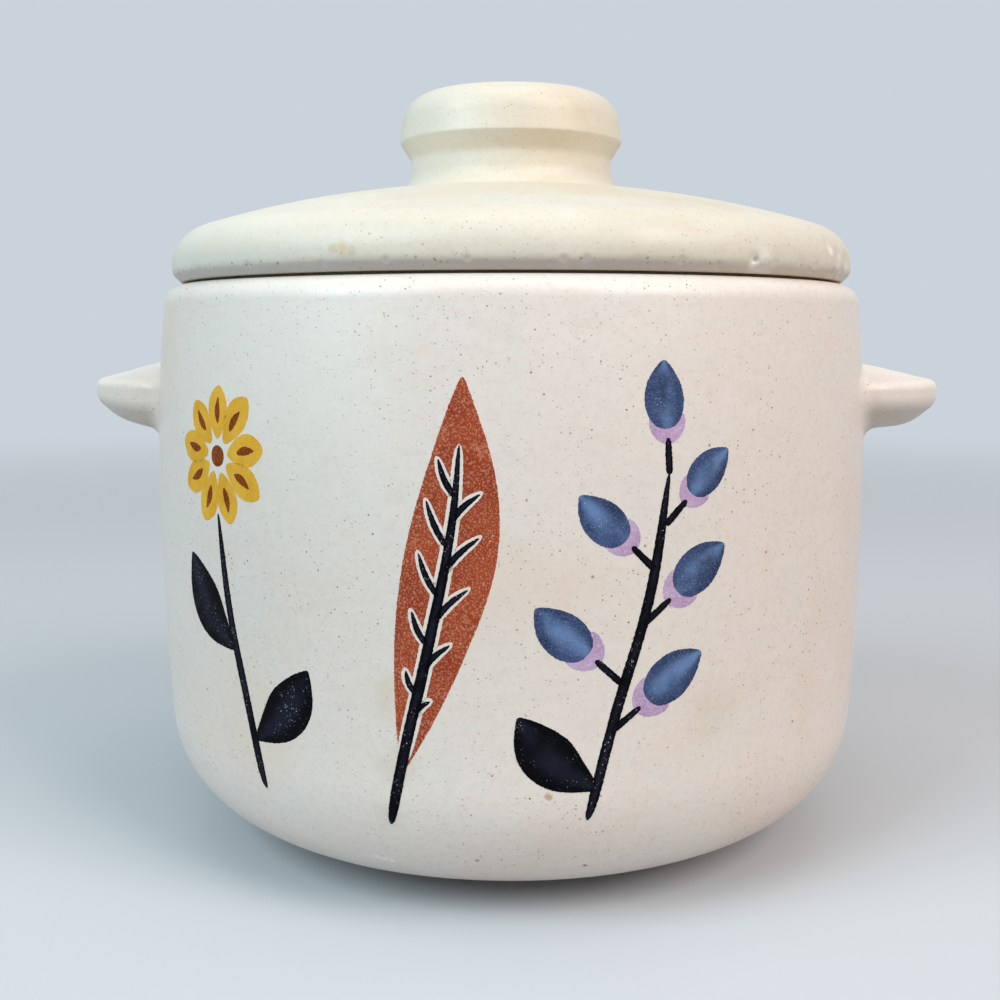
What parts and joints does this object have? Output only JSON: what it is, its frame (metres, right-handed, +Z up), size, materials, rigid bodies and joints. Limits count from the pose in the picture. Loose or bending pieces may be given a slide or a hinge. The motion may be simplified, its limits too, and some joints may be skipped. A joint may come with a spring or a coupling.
{
  "type": "bean pot",
  "caption": "Squat round stoneware pot with a rounded base, side lugs and a loose domed lid carried by a broad flat-topped knob.",
  "frame": {"origin": "on the pot's axis, in the plane that the foot ring stands on", "axes": "+Z up along the pot's axis; +X from the left lug to the right lug; -Y towards the decorated front"},
  "size_m": [0.2158, 0.178, 0.1855],
  "materials": {
    "pot_glaze": "satin",
    "lid_glaze": "satin"
  },
  "bodies": {
    "pot": {"pot_body": "pot_glaze", "lug_left": "pot_glaze", "lug_right": "pot_glaze"},
    "lid": {"lid": "lid_glaze", "lid_knob": "lid_glaze"}
  },
  "joints": [
    {"name": "lid_lift", "type": "slide", "parent": "pot", "child": "lid", "axis": [0, 0, 1], "range_m": [0, 0.12]}
  ]
}
